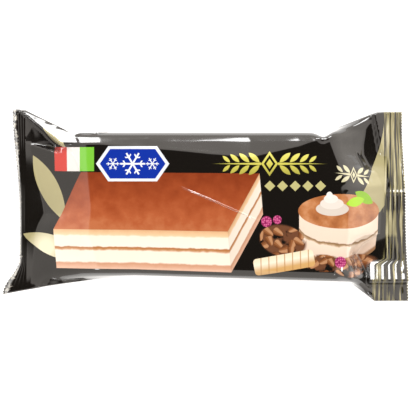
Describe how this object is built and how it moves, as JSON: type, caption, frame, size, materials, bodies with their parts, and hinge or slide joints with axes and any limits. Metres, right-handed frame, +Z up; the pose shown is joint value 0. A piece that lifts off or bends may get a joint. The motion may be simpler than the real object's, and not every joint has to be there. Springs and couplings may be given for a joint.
{
  "type": "flow-wrapped ice cream cake bar",
  "caption": "Sealed flow-wrap film pack round a cake bar, with a crimped seal at each end and a folded fin down the back; it lies flat on its back.",
  "frame": {"origin": "under the middle of the pack, on the surface that it lies on", "axes": "+X along the pack's length, to the right as the front is seen; +Y across it, towards the far edge; +Z up, out of the printed front"},
  "size_m": [0.1744, 0.0824, 0.0227],
  "materials": {
    "printed_film": "glossy black printed film"
  },
  "bodies": {
    "root": {"flow_wrap": "printed_film"}
  },
  "joints": []
}
